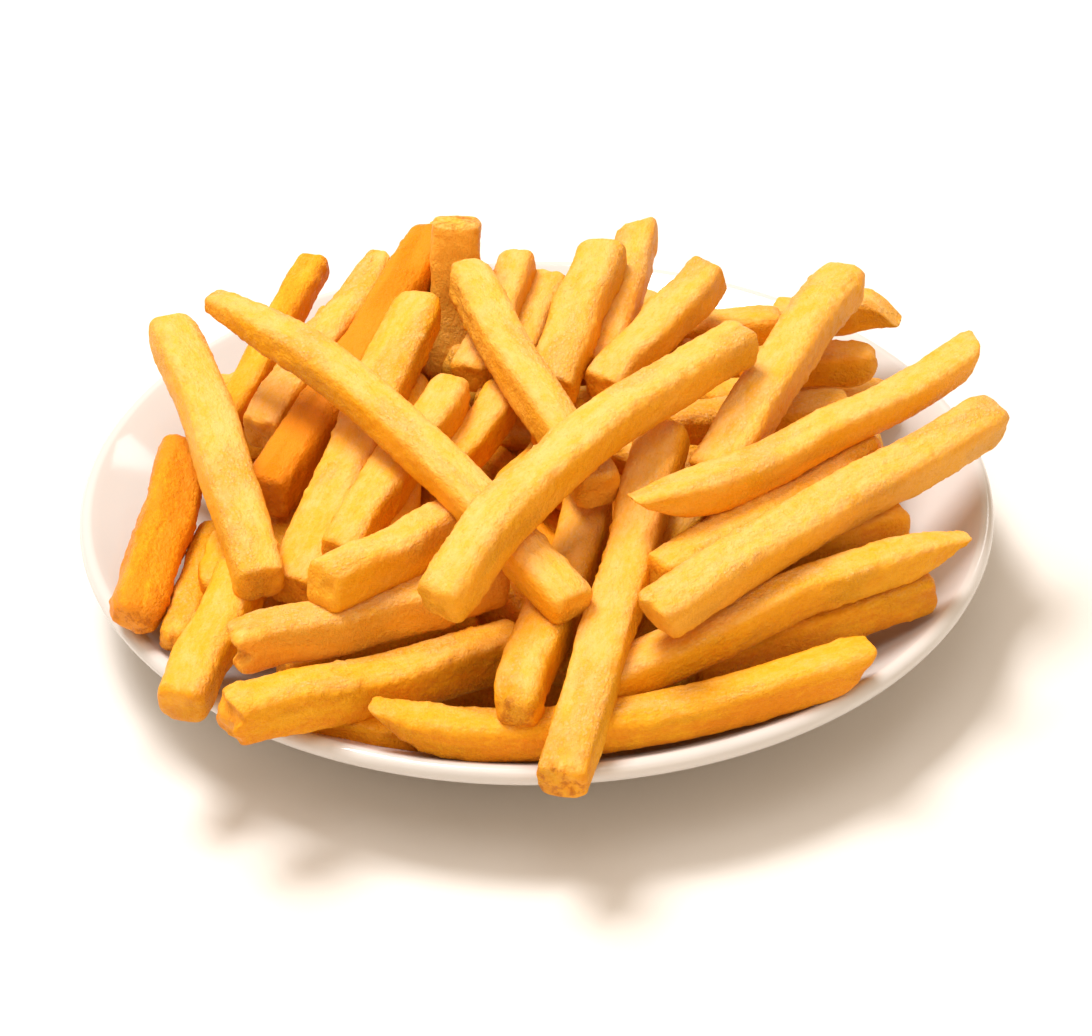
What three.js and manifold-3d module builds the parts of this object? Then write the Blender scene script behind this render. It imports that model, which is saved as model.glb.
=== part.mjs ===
// A portion of french fries heaped on a round white plate.
// Millimetres, +Z up. The origin is the middle of the plate's foot, on the surface that it stands on.
// +X is the right of the portion and -Y its front.
import * as THREE from "three";
import { mergeVertices } from "three/addons/utils/BufferGeometryUtils.js";
import Module from "manifold-3d";

// ---- Plate ----
const RIM_RADIUS = 105; // out to the round lip's outermost point
const RIM_HEIGHT = 26; // the lip's top above the table
const WALL = 4.2; // thickness, which is also the round lip's diameter
const WELL_RADIUS = 54; // flat middle
const WELL_HEIGHT = 7; // the flat middle's upper surface
const WALL_CURVE = 1.6; // power of the wall's rise: it steepens towards the lip
const LIP_TILT = 0.52; // radians: the wall's slope where it meets the lip
const FOOT_OUTER = 56;
const FOOT_INNER = 50;
const FOOT_EDGE = 1; // rounding of the foot's corners
const PLATE_SIDES = 54; // facets round the plate
const WALL_STEPS = 6; // facets up the wall
const LIP_STEPS = 5; // facets round the lip

// ---- Fries ----
const GAP = 0.4; // left between the plate and the heap
const FRY_SIDES = 8; // facets round a fry, two at each corner
const STRAIGHT_STEPS = 3; // facets along a straight fry
const BOWED_STEPS = 5; // and along a bowed one
const SQUARENESS = 0.5; // power that pulls a circle's points towards a square's corners

// How a fry ends: how much of its section is left at the end, how long the narrowing is,
// and how far the upper edge stands out past the lower one.
const LONGEST_END = 0.3; // share of a fry's length
const END_LEAN_POWER = 8; // how sharply the lean comes in towards the end
const ENDS = {
  cut: { left: 0.86, over: 2, lean: 0 },
  slant: { left: 0.84, over: 3, lean: 6 },
  point: { left: 0.3, over: 24, lean: 3 },
  round: { left: 0.6, over: 7, lean: 1 },
  blunt: { left: 0.8, over: 9, lean: 0 },
  stub: { left: 0.56, over: 36, lean: 0 },
  steep: { left: 0.86, over: 4, lean: 9 },
  beak: { left: 0.7, over: 12, lean: -4 },
};

// Each fry runs from one point to another along its middle.
// bow is how far its middle stands off the straight line, sideways and up, and peak is where along it.
// turn rolls the fry about its own length, in degrees. taper is how much thicker its second end is than
// its first, as a share of its size. skew is how far one side stands out past the other at each end.
const LAID_FRIES = [
  // the long fries that cross on top
  { from: [47, -2, 66.5], to: [-21, -83, 53.5], wide: 11, thick: 10.5, bow: [3.5, 5], taper: 0.15,
    ends: ["cut", "blunt"] },
  { from: [-73, 15.5, 67.5], to: [8.5, -74, 45.5], wide: 9.7, thick: 9.3, bow: [-3, 5], peak: 0.3,
    taper: 0.1, ends: ["stub", "cut"] },
  { from: [-17, 38, 62.5], to: [13.5, -41.5, 53], wide: 10, thick: 10, turn: 4, ends: ["round", "cut"] },
  { from: [-84, 17.5, 61.3], to: [-59, -60, 43], wide: 11, thick: 10, bow: [-1.2, 1], turn: 5,
    ends: ["blunt", "cut"] },
  // the right side, from the top layer down
  { from: [21, -55, 57.5], to: [99, 8.5, 56.5], wide: 9.5, thick: 8.5, bow: [2, -3], taper: -0.25,
    skew: [0, -5], ends: ["point", "slant"] },
  { from: [29, -18.5, 54], to: [5, -114, 30], wide: 11, thick: 9, turn: -4, ends: ["cut", "cut"] },
  { from: [24, -80.5, 48.5], to: [105, -1.5, 46.5], wide: 11, thick: 10.5, turn: -12,
    ends: ["slant", "round"] },
  { from: [11, -83.5, 31.2], to: [93, -42, 37.5], wide: 9.5, thick: 9.5, bow: [0, 3.5], peak: 0.65,
    taper: -0.2, ends: ["cut", "point"] },
  { from: [33, -69, 26], to: [86, -46.5, 30.5], wide: 10, thick: 10, ends: ["cut", "cut"] },
  { from: [-34.5, -91.5, 31], to: [68, -75, 31], wide: 10, thick: 9.5, bow: [8.5, -3], peak: 0.33,
    ends: ["point", "steep"] },
  { from: [26.5, -65, 46], to: [74.5, -14.5, 45], wide: 10, thick: 10, ends: ["cut", "cut"] },
  { from: [44, -46, 37], to: [81, -30, 37], wide: 9, thick: 9, ends: ["cut", "cut"] },
  // the front and the left side
  { from: [12, -30, 40.5], to: [-5.5, -99, 36], wide: 11, thick: 11, ends: ["cut", "round"] },
  { from: [-45, -72, 50], to: [-17, -42, 46], wide: 10, thick: 11.5, ends: ["cut", "cut"] },
  { from: [-63, -81.5, 41.5], to: [-8, -52.5, 37.5], wide: 10, thick: 10.5, ends: ["cut", "cut"] },
  { from: [-64, -98.5, 36], to: [-4, -62.5, 27], wide: 11, thick: 11, ends: ["cut", "cut"] },
  { from: [-64, -48, 37.5], to: [-75.5, -86, 30], wide: 11, thick: 10, ends: ["cut", "cut"] },
  { from: [-50, -84.5, 24], to: [-25, -87, 23], wide: 8.5, thick: 7.5, ends: ["cut", "cut"] },
  { from: [-66, -29, 35], to: [-71, -50, 33.5], wide: 9, thick: 9, ends: ["cut", "round"] },
  { from: [-72, -20, 29], to: [-79, -62, 28.5], wide: 8, thick: 8, ends: ["cut", "round"] },
  { from: [-80, -1, 38.5], to: [-87, -59, 32], wide: 12, thick: 11, turn: 20, ends: ["cut", "round"] },
  // the back left, up to the top
  { from: [-52.8, 64, 49.4], to: [-72.3, 9.5, 38], wide: 7.4, thick: 8, ends: ["cut", "cut"] },
  { from: [-36.5, 57.5, 52], to: [-63, 0, 42], wide: 10, thick: 10, ends: ["point", "cut"] },
  { from: [-22.5, 63.5, 57], to: [-60, -23, 40], wide: 11, thick: 12, ends: ["round", "cut"] },
  { from: [-25.5, 33, 58], to: [-53, -55, 37.5], wide: 12, thick: 10, ends: ["round", "cut"] },
  { from: [-18, 5, 52], to: [-43, -51.5, 44], wide: 10, thick: 10, ends: ["round", "cut"] },
  { from: [-17.5, 49, 69.9], to: [-17.5, 48.5, 34.5], wide: 12, thick: 10, ends: ["cut", "cut"] },
  { from: [-6, 8.5, 47], to: [-20, -17, 42], wide: 9, thick: 9, ends: ["cut", "cut"] },
  // the back right
  { from: [-3, 56, 53.5], to: [-15, 15, 47], wide: 9, thick: 9, skew: [-1.5, 0], ends: ["cut", "cut"] },
  { from: [4, 56, 48.5], to: [-10, 11.5, 40.5], wide: 9, thick: 9, ends: ["cut", "cut"] },
  { from: [16.5, 48.5, 60.5], to: [3, 4, 50], wide: 11.5, thick: 10, skew: [-2, 0], ends: ["cut", "cut"] },
  { from: [24.5, 65, 56.5], to: [14, 21.5, 45], wide: 10, thick: 10, bow: [-1.5, 0], skew: [-6, 0],
    ends: ["cut", "cut"] },
  { from: [42, 46, 56], to: [15, 8, 48], wide: 10, thick: 9.5, ends: ["cut", "cut"] },
  { from: [22, 45.5, 40], to: [58.5, 47.5, 39.5], wide: 9, thick: 9, ends: ["cut", "cut"] },
  { from: [30, -2.5, 45], to: [72, 8.5, 41], wide: 9, thick: 9, ends: ["cut", "cut"] },
  { from: [74, 41, 58], to: [39, -32, 50], wide: 11.5, thick: 10, bow: [0, 3], ends: ["round", "cut"] },
  { from: [85.5, 47.5, 45], to: [58.5, 55, 37.5], wide: 9, thick: 9, ends: ["beak", "cut"] },
  { from: [80, 26, 44], to: [49, 31, 38], wide: 10, thick: 9, ends: ["round", "cut"] },
];

// The back of the heap: fries that lie outwards over its slope and lean on the plate's wall.
const BACK_FRIES = 13;
const BACK_FROM = 0.13 * Math.PI; // angles about +Z, from +X: the right of the back
const BACK_TO = 0.9 * Math.PI; // and the left of the back
const BACK_INNER = { radius: 42, height: 38 };
const BACK_OUTER = { radius: 89, height: 25.5 };
const BACK_SIZE = 10;
// How much each varies from fry to fry, to both sides, and the pace of its sine.
const BACK_SPREAD = { amount: 0.3, pace: 5.1 }; // along the row, as a share of its spacing
const BACK_SWING = { amount: 0.35, pace: 2.3 }; // radians that a fry lies off the radius
const BACK_INNER_RADIUS = { amount: 7, pace: 3.7 };
const BACK_OUTER_RADIUS = { amount: 4, pace: 1.9 };
const BACK_INNER_HEIGHT = { amount: 3, pace: 4.3 };
const BACK_TURN = { amount: 30, pace: 6.1 }; // degrees
// The one fry that sticks out over the back of the rim.
const OVERHANG = { from: [-14, 60, 40], to: [-22, 112, 29], wide: 10, thick: 9, ends: ["cut", "cut"] };

// What lies under the fries that show: a mound that fills the plate.
const MOUND_HEIGHT = 44;
const MOUND_RADIUS = 86; // where the mound meets the plate's wall
const MOUND_FULLNESS = 2.6; // power of the fall from its top to its edge
const MOUND_CLEAR = 0.7; // its underside above the plate
const MOUND_STEPS = 5; // facets from its top to its edge
const MOUND_WALL_STEPS = 3; // facets of its underside along the plate's wall
const MOUND_SIDES = 24;

const UP = new THREE.Vector3(0, 0, 1);

const wasm = await Module();
wasm.setup();

// A closed geometry as a manifold solid. A lathed or cylindrical geometry repeats points along its
// seams, so they are merged by place alone.
function solidFrom(geometry) {
  const bare = geometry.clone();
  bare.deleteAttribute("normal");
  bare.deleteAttribute("uv");
  const merged = mergeVertices(bare, 1e-4);
  const mesh = new wasm.Mesh({
    numProp: 3,
    vertProperties: merged.attributes.position.array,
    triVerts: new Uint32Array(merged.index.array),
  });
  return new wasm.Manifold(mesh);
}

function geometryFrom(solid) {
  const mesh = solid.getMesh();
  const geometry = new THREE.BufferGeometry();
  geometry.setAttribute("position", new THREE.BufferAttribute(mesh.vertProperties, mesh.numProp));
  geometry.setIndex(new THREE.BufferAttribute(mesh.triVerts, 1));
  geometry.computeVertexNormals();
  return geometry;
}

// The largest of the bodies that a cut leaves.
function largestBody(solid) {
  return solid.decompose().reduce((a, b) => (b.volume() > a.volume() ? b : a));
}

// ---- Plate ----

const lipRadius = WALL / 2;
const lipCentre = new THREE.Vector2(RIM_RADIUS - lipRadius, RIM_HEIGHT - lipRadius);

// Where the wall's inside meets the lip.
function lipPoint(angle, grow = 0) {
  return new THREE.Vector2(
    lipCentre.x + (lipRadius + grow) * Math.cos(angle),
    lipCentre.y + (lipRadius + grow) * Math.sin(angle),
  );
}

// Height of the plate's upper surface at a radius inside the lip.
function bowlHeight(radius) {
  const top = lipPoint(Math.PI / 2 + LIP_TILT);
  const rise = THREE.MathUtils.clamp((radius - WELL_RADIUS) / (top.x - WELL_RADIUS), 0, 1);
  return WELL_HEIGHT + (top.y - WELL_HEIGHT) * rise ** WALL_CURVE;
}

// Points up the wall's inside, from the well to the lip, moved off the surface by grow.
function wallPoints(grow) {
  const points = [];
  const outer = lipPoint(Math.PI / 2 + LIP_TILT).x;
  for (let i = 0; i < WALL_STEPS; i++) {
    const radius = WELL_RADIUS + ((outer - WELL_RADIUS) * i) / WALL_STEPS;
    const slope = Math.atan(bowlHeight(radius + 0.5) - bowlHeight(radius - 0.5));
    const x = radius - grow * Math.sin(slope);
    points.push(new THREE.Vector2(x, bowlHeight(radius) + grow * Math.cos(slope)));
  }
  return points;
}

function lipPoints(grow) {
  const points = [];
  const from = LIP_TILT - Math.PI / 2;
  for (let i = 0; i <= LIP_STEPS; i++) {
    points.push(lipPoint(from + (Math.PI * i) / LIP_STEPS, grow));
  }
  return points;
}

function plateProfile() {
  const underside = WELL_HEIGHT - WALL;
  return [
    new THREE.Vector2(0, underside),
    new THREE.Vector2(FOOT_INNER, underside),
    new THREE.Vector2(FOOT_INNER, FOOT_EDGE),
    new THREE.Vector2(FOOT_INNER + FOOT_EDGE, 0),
    new THREE.Vector2(FOOT_OUTER - FOOT_EDGE, 0),
    new THREE.Vector2(FOOT_OUTER, FOOT_EDGE),
    new THREE.Vector2(FOOT_OUTER, underside),
    ...wallPoints(-WALL).slice(2),
    ...lipPoints(0),
    ...wallPoints(0).reverse(),
    new THREE.Vector2(0, WELL_HEIGHT),
  ];
}

// The plate with its upper side moved out by the gap: the heap is cut to clear it.
function clearanceProfile() {
  return [
    new THREE.Vector2(0, -1),
    new THREE.Vector2(FOOT_OUTER, -1),
    ...lipPoints(GAP),
    ...wallPoints(GAP).reverse(),
    new THREE.Vector2(0, WELL_HEIGHT + GAP),
  ];
}

// LatheGeometry turns its profile about Y, and here the plate's axis is Z.
function latheAboutZ(profile, sides) {
  return new THREE.LatheGeometry(profile, sides).rotateX(Math.PI / 2);
}

function makePlate() {
  const material = new THREE.MeshStandardMaterial({ color: 0xf4efec, roughness: 0.15, metalness: 0 });
  const plate = new THREE.Mesh(latheAboutZ(plateProfile(), PLATE_SIDES), material);
  plate.name = "plate";
  return plate;
}

// ---- Fries ----

// The directions across a fry: sideways and up, before it is rolled about its length.
function fryFrame(fry) {
  const from = new THREE.Vector3(...fry.from);
  const to = new THREE.Vector3(...fry.to);
  const along = to.clone().sub(from);
  const length = along.length();
  along.normalize();
  const side = along.clone().cross(UP).normalize();
  const up = side.clone().cross(along);
  return { from, to, along, side, up, length };
}

// The line down a fry's middle.
function fryLine(fry, { from, to, side, up }) {
  const [sideways, upward] = fry.bow ?? [0, 0];
  const control = from.clone().lerp(to, fry.peak ?? 0.5);
  control.addScaledVector(side, 2 * sideways).addScaledVector(up, 2 * upward);
  return new THREE.QuadraticBezierCurve3(from, control, to);
}

// Share of the full section that is left at a distance from an end.
function narrowing(end, distance) {
  const share = THREE.MathUtils.clamp(distance / end.over, 0, 1);
  return end.left + (1 - end.left) * Math.sin((share * Math.PI) / 2);
}

// Places along a fry, from 0 to 1, where its section is drawn: closer together in its two ends.
function fryStations(first, last, length, steps) {
  const start = Math.min(LONGEST_END, first.over / length);
  const stop = 1 - Math.min(LONGEST_END, last.over / length);
  const stations = [0];
  for (let i = 0; i <= steps - 2; i++) {
    stations.push(start + ((stop - start) * i) / (steps - 2));
  }
  return [...stations, 1];
}

const towardsSquare = (value) => Math.sign(value) * Math.abs(value) ** SQUARENESS;

// A fry: a bar of rounded square section along its line. A unit cylinder's rings become its sections.
function makeFry(fry) {
  const frame = fryFrame(fry);
  const line = fryLine(fry, frame);
  const [first, last] = fry.ends.map((name) => ENDS[name]);
  const [skewFirst, skewLast] = fry.skew ?? [0, 0];
  const steps = fry.bow ? BOWED_STEPS : STRAIGHT_STEPS;
  const stations = fryStations(first, last, frame.length, steps);
  const roll = THREE.MathUtils.degToRad(fry.turn ?? 0);
  const side = frame.side.clone().applyAxisAngle(frame.along, roll);
  const up = frame.up.clone().applyAxisAngle(frame.along, roll);
  const corner = Math.PI / FRY_SIDES;
  const full = towardsSquare(Math.cos(corner));
  const bar = new THREE.CylinderGeometry(1, 1, 1, FRY_SIDES, steps);
  bar.rotateY(corner);
  const place = bar.attributes.position;
  const point = new THREE.Vector3();
  for (let i = 0; i < place.count; i++) {
    const t = stations[Math.round((place.getY(i) + 0.5) * steps)];
    const distance = t * frame.length;
    const growth = 1 + (fry.taper ?? 0) * (t - 0.5);
    const size = growth * narrowing(first, distance) * narrowing(last, frame.length - distance);
    const across = (towardsSquare(place.getX(i)) / full) * size;
    const above = (towardsSquare(place.getZ(i)) / full) * size;
    const [nearFirst, nearLast] = [(1 - t) ** END_LEAN_POWER, t ** END_LEAN_POWER];
    const leaning = last.lean * nearLast - first.lean * nearFirst;
    const skewing = skewLast * nearLast - skewFirst * nearFirst;
    line.getPoint(t, point);
    point.addScaledVector(side, (across * fry.wide) / 2);
    point.addScaledVector(up, (above * fry.thick) / 2);
    point.addScaledVector(frame.along, (leaning * above + skewing * across) / 2);
    place.setXYZ(i, point.x, point.y, point.z);
  }
  return bar;
}

// Places and angles vary from fry to fry by a sine of its number, which repeats on every run.
const vary = ({ amount, pace }, number) => amount * Math.sin(number * pace);

function backFry(number) {
  const share = (number + vary(BACK_SPREAD, number)) / (BACK_FRIES - 1);
  const angle = BACK_FROM + (BACK_TO - BACK_FROM) * share;
  const swung = angle + vary(BACK_SWING, number);
  const inner = BACK_INNER.radius + vary(BACK_INNER_RADIUS, number);
  const outer = BACK_OUTER.radius + vary(BACK_OUTER_RADIUS, number);
  const height = BACK_INNER.height + vary(BACK_INNER_HEIGHT, number);
  return {
    from: [inner * Math.cos(angle), inner * Math.sin(angle), height],
    to: [outer * Math.cos(swung), outer * Math.sin(swung), BACK_OUTER.height],
    wide: BACK_SIZE,
    thick: BACK_SIZE,
    turn: vary(BACK_TURN, number),
    ends: ["cut", "cut"],
  };
}

// The mound's underside follows the plate, out to its edge, and its top comes back to the middle.
function moundProfile() {
  const profile = [new THREE.Vector2(0, WELL_HEIGHT + MOUND_CLEAR)];
  for (let i = 0; i <= MOUND_WALL_STEPS; i++) {
    const radius = WELL_RADIUS + ((MOUND_RADIUS - WELL_RADIUS) * i) / MOUND_WALL_STEPS;
    profile.push(new THREE.Vector2(radius, bowlHeight(radius) + MOUND_CLEAR));
  }
  const edge = profile.at(-1).y;
  for (let i = 1; i <= MOUND_STEPS; i++) {
    const share = 1 - i / MOUND_STEPS;
    const drop = (MOUND_HEIGHT - edge) * share ** MOUND_FULLNESS;
    profile.push(new THREE.Vector2(MOUND_RADIUS * share, MOUND_HEIGHT - drop));
  }
  return profile;
}

function makeFries() {
  const mound = solidFrom(latheAboutZ(moundProfile(), MOUND_SIDES));
  const backFries = Array.from({ length: BACK_FRIES }, (_, number) => backFry(number));
  const bars = [...LAID_FRIES, ...backFries, OVERHANG].map((fry) => solidFrom(makeFry(fry)));
  const whole = bars.reduce((heap, bar) => heap.add(bar), mound);
  const clear = whole.subtract(solidFrom(latheAboutZ(clearanceProfile(), PLATE_SIDES)));
  const material = new THREE.MeshStandardMaterial({ color: 0xf6b73c, roughness: 0.55, metalness: 0 });
  const fries = new THREE.Mesh(geometryFrom(largestBody(clear)), material);
  fries.name = "fries";
  return fries;
}

const portion = new THREE.Group();
portion.add(makePlate(), makeFries());

export default portion;
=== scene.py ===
"""A portion of french fries heaped on a round white plate: its looks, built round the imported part."""
import math

import bpy
import numpy as np
from mathutils import Matrix, Vector

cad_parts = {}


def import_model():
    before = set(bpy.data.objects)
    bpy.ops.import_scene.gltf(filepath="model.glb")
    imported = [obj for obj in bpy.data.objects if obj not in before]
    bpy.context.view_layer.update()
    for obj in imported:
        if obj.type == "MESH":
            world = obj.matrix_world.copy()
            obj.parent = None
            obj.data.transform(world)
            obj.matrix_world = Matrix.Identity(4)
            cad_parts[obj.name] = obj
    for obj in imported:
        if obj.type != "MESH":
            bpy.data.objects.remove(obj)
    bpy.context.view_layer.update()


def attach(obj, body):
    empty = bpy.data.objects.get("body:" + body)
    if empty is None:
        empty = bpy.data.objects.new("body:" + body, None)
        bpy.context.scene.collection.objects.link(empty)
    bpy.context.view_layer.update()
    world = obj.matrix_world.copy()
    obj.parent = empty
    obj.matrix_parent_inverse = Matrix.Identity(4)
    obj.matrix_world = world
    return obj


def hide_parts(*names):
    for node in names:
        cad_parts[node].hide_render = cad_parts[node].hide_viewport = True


MM = 0.001  # the lists below are in millimetres
UP = np.array([0.0, 0.0, 1.0])

# ---- Camera ----
FRAME_WIDTH = 1092  # pixels
SENSOR_WIDTH = 36.0  # mm
FOCAL_PIXELS = 3708.5
ELEVATION = math.radians(34.44)
ROLL = math.radians(0.772)  # clockwise
TARGET = (2.167, 0.0, 18.136)
DISTANCE = 859.1

# ---- Plate ----
RIM_RADIUS = 105.0
RIM_HEIGHT = 26.0
WALL = 4.2
WELL_RADIUS = 54.0
WELL_HEIGHT = 7.0
WALL_CURVE = 1.6
LIP_TILT = 0.52
FOOT_OUTER = 56.0
FOOT_INNER = 50.0
FOOT_EDGE = 1.0
PLATE_SIDES = 288
WALL_STEPS = 28
LIP_STEPS = 20
FOOT_EDGE_STEPS = 4
WELL_STEPS = 6
FOOT_FILLET = 0.4  # where the foot meets the underside
BARE_HEIGHT = 0.5 * MM  # the foot is unglazed up to here

# ---- Fries ----
FINE = {"step": 0.85, "sides": 52}  # mesh spacing along a fry in mm, and points round it
PLAIN = {"step": 1.9, "sides": 28}
CAP_RINGS = (0.3, 0.55, 0.78)  # rings on an end's cut face, as shares of its half width
FILLET_STEPS = 4
LONGEST_END = 0.3  # share of a fry's length
LEAN_POWER = 8  # how sharply an end's lean comes in towards it
LENGTH_POINTS = 24  # points that a fry's length is measured on
OUTLINE_POINTS = 1441  # points that a section's outline is spaced out on
MAX_TRIANGLES = 190_000  # in one piece

# How uneven a hand-cut fry is.
SQUARENESS = (0.42, 0.56)  # the power of its section's outline, from squarer to rounder
TWIST = 7.0  # degrees
SWAY = ((2.3, 0.45), (5.1, 0.2))  # sideways: half waves along the fry, and their size in mm
HEAVE = ((2.1, 0.35), (4.7, 0.2))  # up and down
SWELL_WAVES = 3.3
SWELL = 0.035  # a share of its size
WAVES = ([0.06, 0.12, 0.12], 0.34)  # features per mm along, across and up, and their size in mm
LUMPS = ([0.2, 0.28, 0.28], 0.14)
BLISTERS = (0.55, 0.5)
BLISTER_ZONES = [0.05, 0.09, 0.09]
ZONE_CONTRAST = 1.6
GRIT = (0.9, 0.13)
TEAR_GRAIN = 0.33  # features per mm of a ragged end
TEAR_DEPTH = 1.6  # mm over which its raggedness fades
BROWN_DEPTH = 5.0  # mm over which an end's brown fades
CORNER_FROM, CORNER_OVER = 0.45, 0.35  # where in a section a corner starts, and over what it grows
CUT_FROM, CUT_GROWTH = 0.97, 6  # the size of an end's rings that the cut face starts at, and how fast
APART = 900  # the range of the offsets that give each fry its own noise
TONE_SPREAD = 0.05

# How a fry ends. wide and thick: shares of the section left at the end. over: mm the narrowing takes.
# lean: mm that the upper edge stands out past the lower one. lift: 1 keeps the top straight, -1 the bottom.
# fillet: rounding of the cut's edge. ragged: mm of unevenness in the cut.
ENDS = {
    "cut": dict(wide=0.93, thick=0.93, over=2.5, lean=0.0, lift=0.0, fillet=1.1, ragged=0.5),
    "slant": dict(wide=0.9, thick=0.9, over=3.0, lean=5.0, lift=0.0, fillet=0.9, ragged=0.5),
    "point": dict(wide=0.5, thick=0.22, over=22.0, lean=3.0, lift=0.8, fillet=0.8, ragged=0.3),
    "round": dict(wide=0.66, thick=0.66, over=7.0, lean=0.5, lift=0.0, fillet=2.2, ragged=0.4),
    "torn": dict(wide=0.86, thick=0.9, over=3.0, lean=1.0, lift=0.0, fillet=0.7, ragged=1.6),
    "blunt": dict(wide=0.8, thick=0.82, over=9.0, lean=0.0, lift=0.0, fillet=1.5, ragged=0.5),
    "stub": dict(wide=0.66, thick=0.44, over=36.0, lean=0.0, lift=0.3, fillet=0.8, ragged=0.7),
    "steep": dict(wide=0.88, thick=0.88, over=4.0, lean=9.0, lift=0.0, fillet=0.8, ragged=0.4),
    "beak": dict(wide=0.8, thick=0.6, over=12.0, lean=-4.0, lift=-0.8, fillet=0.9, ragged=0.6),
}
COMMON_ENDS = ("cut", "slant", "point", "round", "torn")


def fry(start, end, wide=10.0, thick=10.0, bow=(0.0, 0.0), peak=0.5, turn=0.0, taper=0.0, skew=(0.0, 0.0),
        ends=("cut", "cut"), tone=0.35, browned=(0.4, 0.4)):
    """One laid fry, in millimetres. bow is how far its middle stands off the straight line, sideways and
    up, and peak where along it. turn rolls it, in degrees. taper is how much thicker its second end is, as
    a share. skew is how far one side stands out past the other at each end. tone is its colour, from pale
    to well done; on some fries it is also set paler as painted light, on others deeper as painted shade,
    for how the light falls on them. browned is how brown each end is."""
    return dict(start=np.array(start, float), end=np.array(end, float), wide=wide, thick=thick, bow=bow,
                peak=peak, turn=turn, taper=taper, skew=skew, ends=ends, tone=tone, browned=browned)


TOP_FRIES = [
    fry([47, -2, 66.5], [-21, -83, 53.5], 11, 10.5, (3.5, 5), taper=0.15, ends=("cut", "blunt"),
        tone=0.25, browned=(0.35, 0.3)),
    fry([-73, 15.5, 67.5], [8.5, -74, 45.5], 9.7, 9.3, (-3, 5), peak=0.3, taper=0.1, ends=("stub", "cut"),
        tone=0.25, browned=(0.8, 0.25)),
    fry([-17, 38, 62.5], [13.5, -41.5, 53], 10, 10, turn=4, ends=("round", "cut"), tone=0.05,
        browned=(0.1, 0.2)),
    fry([-84, 17.5, 61.3], [-59, -60, 43], 11, 10, (-1.2, 1), turn=5, ends=("blunt", "cut"), tone=0.2,
        browned=(0.2, 0.2)),
    fry([21, -55, 57.5], [99, 8.5, 56.5], 9.5, 8.5, (2, -3), taper=-0.25, skew=(0, -5),
        ends=("point", "slant"), tone=0.2, browned=(0.5, 0.2)),
    fry([29, -18.5, 54], [5, -114, 30], 11, 9, turn=-4, tone=0.4, browned=(0.3, 0.9)),
    fry([24, -80.5, 48.5], [105, -1.5, 46.5], 11, 10.5, turn=-12, ends=("slant", "round"), tone=0.1,
        browned=(0.3, 0.2)),
]
RIGHT_FRIES = [
    fry([11, -83.5, 31.2], [93, -42, 37.5], 9.5, 9.5, (0, 3.5), peak=0.65, taper=-0.2,
        ends=("cut", "point"), tone=0.5, browned=(0.4, 0.3)),
    fry([33, -69, 26], [86, -46.5, 30.5], 10, 10, tone=0.8, browned=(0.4, 0.2)),
    fry([-34.5, -91.5, 31], [68, -75, 31], 10, 9.5, (8.5, -3), peak=0.33, ends=("point", "steep"),
        tone=0.75, browned=(0.7, 0.3)),
    fry([26.5, -65, 46], [74.5, -14.5, 45], 10, 10, tone=0.5),
    fry([44, -46, 37], [81, -30, 37], 9, 9, tone=0.5),
]
LEFT_FRIES = [
    fry([12, -30, 40.5], [-5.5, -99, 36], 11, 11, ends=("cut", "round"), tone=0.6, browned=(0.3, 0.9)),
    fry([-45, -72, 50], [-17, -42, 46], 10, 11.5, tone=0.3, browned=(0.2, 0.3)),
    fry([-63, -81.5, 41.5], [-8, -52.5, 37.5], 10, 10.5, ends=("torn", "cut"), tone=-0.1,
        browned=(0.8, 0.3)),
    fry([-64, -98.5, 36], [-4, -62.5, 27], 11, 11, ends=("torn", "cut"), tone=0.6, browned=(0.7, 0.3)),
    fry([-64, -48, 37.5], [-75.5, -86, 30], 11, 10, tone=0.6, browned=(0.3, 0.4)),
    fry([-50, -84.5, 24], [-25, -87, 23], 8.5, 7.5, tone=0.8),
    fry([-66, -29, 35], [-71, -50, 33.5], 9, 9, ends=("cut", "round"), tone=0.7),
    fry([-72, -20, 29], [-79, -62, 28.5], 8, 8, ends=("cut", "round"), tone=0.8, browned=(0.5, 0.9)),
    fry([-80, -1, 38.5], [-87, -59, 32], 12, 11, turn=20, ends=("cut", "round"), tone=1.25,
        browned=(0.3, 1)),
    fry([-52.8, 64, 49.4], [-72.3, 9.5, 38], 7.4, 8, tone=0.9),
    fry([-36.5, 57.5, 52], [-63, 0, 42], 10, 10, ends=("point", "cut"), tone=0.3, browned=(0.1, 0.3)),
    fry([-22.5, 63.5, 57], [-60, -23, 40], 11, 12, ends=("round", "cut"), tone=1.85, browned=(0.5, 0.5)),
    fry([-25.5, 33, 58], [-53, -55, 37.5], 12, 10, ends=("round", "cut"), tone=0.5, browned=(0.3, 0.4)),
    fry([-18, 5, 52], [-43, -51.5, 44], 10, 10, ends=("round", "cut"), tone=0.5),
]
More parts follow.
